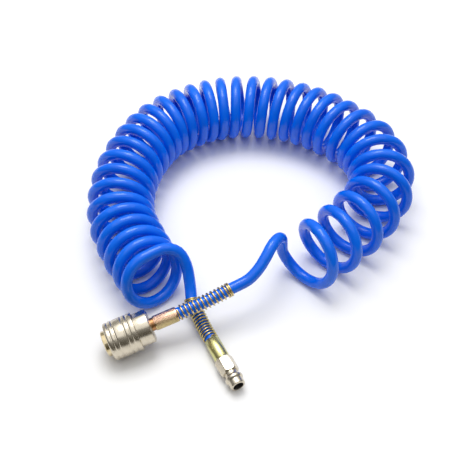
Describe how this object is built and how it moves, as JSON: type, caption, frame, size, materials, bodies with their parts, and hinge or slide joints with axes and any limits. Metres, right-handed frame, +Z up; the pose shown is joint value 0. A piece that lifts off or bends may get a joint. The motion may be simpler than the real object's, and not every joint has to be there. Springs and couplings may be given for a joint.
{
  "type": "recoil air hose",
  "caption": "Spiral air hose lying in an open ring, with a push-to-connect coupler at one end and a plug at the other, each with a ferrule and a spring bend guard.",
  "frame": {"origin": "centre of the box around the two end fittings, on the plane the hose lies on", "axes": "+Z up from the plane the hose lies on; +X along the longest extent of the pair of fittings, from the coupler's side towards the plug's; +Y towards the coiled stretch"},
  "size_m": [0.2398, 0.2694, 0.049],
  "materials": {
    "nickel": "satin",
    "balls": "polished",
    "spring_steel": "satin",
    "zinc_yellow": "satin",
    "bronze": "satin",
    "brass": "satin",
    "hose_blue": "gloss",
    "seal_rubber": "matte"
  },
  "bodies": {
    "hose_and_fittings": {"front_body": "nickel", "rear_body": "nickel", "sleeve_ring": "brass", "sleeve_spring": "spring_steel", "spring_washer": "spring_steel", "nose_seal": "seal_rubber", "valve_spring": "spring_steel", "valve_guide": "brass", "coupler_stem": "bronze", "coupler_ferrule": "zinc_yellow", "coupler_guard": "zinc_yellow", "plug_nipple": "nickel", "plug_stem": "bronze", "plug_ferrule": "zinc_yellow", "plug_guard": "zinc_yellow", "hose_coil": "hose_blue", "hose_coupler_lead": "hose_blue", "hose_plug_lead": "hose_blue", "hose_coupler_end": "hose_blue", "hose_plug_end": "hose_blue"},
    "sleeve": {"locking_sleeve": "nickel"},
    "poppet": {"valve_poppet": "brass", "valve_seal": "seal_rubber"},
    "ball_1": {"locking_ball_1": "balls"},
    "ball_2": {"locking_ball_2": "balls"},
    "ball_3": {"locking_ball_3": "balls"},
    "ball_4": {"locking_ball_4": "balls"},
    "ball_5": {"locking_ball_5": "balls"},
    "ball_6": {"locking_ball_6": "balls"}
  },
  "joints": [
    {"name": "sleeve_slide", "type": "slide", "parent": "hose_and_fittings", "child": "sleeve", "axis": [0.9194, 0.3529, 0.1736], "range_m": [0, 0.0045], "stiffness_N_per_m": 600, "springref_m": -0.01, "deforming": ["sleeve_spring"]},
    {"name": "poppet_slide", "type": "slide", "parent": "hose_and_fittings", "child": "poppet", "axis": [0.9194, 0.3529, 0.1736], "range_m": [0, 0.0018], "stiffness_N_per_m": 400, "springref_m": -0.006, "deforming": ["valve_spring"]},
    {"name": "ball_1_slide", "type": "slide", "parent": "hose_and_fittings", "child": "ball_1", "axis": [0.1621, 0.0622, -0.9848], "range_m": [0, 0.0009]},
    {"name": "ball_2_slide", "type": "slide", "parent": "hose_and_fittings", "child": "ball_2", "axis": [-0.2293, 0.8396, -0.4924], "range_m": [0, 0.0009]},
    {"name": "ball_3_slide", "type": "slide", "parent": "hose_and_fittings", "child": "ball_3", "axis": [-0.3914, 0.7774, 0.4924], "range_m": [0, 0.0009]},
    {"name": "ball_4_slide", "type": "slide", "parent": "hose_and_fittings", "child": "ball_4", "axis": [-0.1621, -0.0622, 0.9848], "range_m": [0, 0.0009]},
    {"name": "ball_5_slide", "type": "slide", "parent": "hose_and_fittings", "child": "ball_5", "axis": [0.2293, -0.8396, 0.4924], "range_m": [0, 0.0009]},
    {"name": "ball_6_slide", "type": "slide", "parent": "hose_and_fittings", "child": "ball_6", "axis": [0.3914, -0.7774, -0.4924], "range_m": [0, 0.0009]}
  ],
  "couplings": [
    {"joint": "ball_1_slide", "follows": "sleeve_slide", "ratio": 0.2},
    {"joint": "ball_2_slide", "follows": "sleeve_slide", "ratio": 0.2},
    {"joint": "ball_3_slide", "follows": "sleeve_slide", "ratio": 0.2},
    {"joint": "ball_4_slide", "follows": "sleeve_slide", "ratio": 0.2},
    {"joint": "ball_5_slide", "follows": "sleeve_slide", "ratio": 0.2},
    {"joint": "ball_6_slide", "follows": "sleeve_slide", "ratio": 0.2}
  ]
}
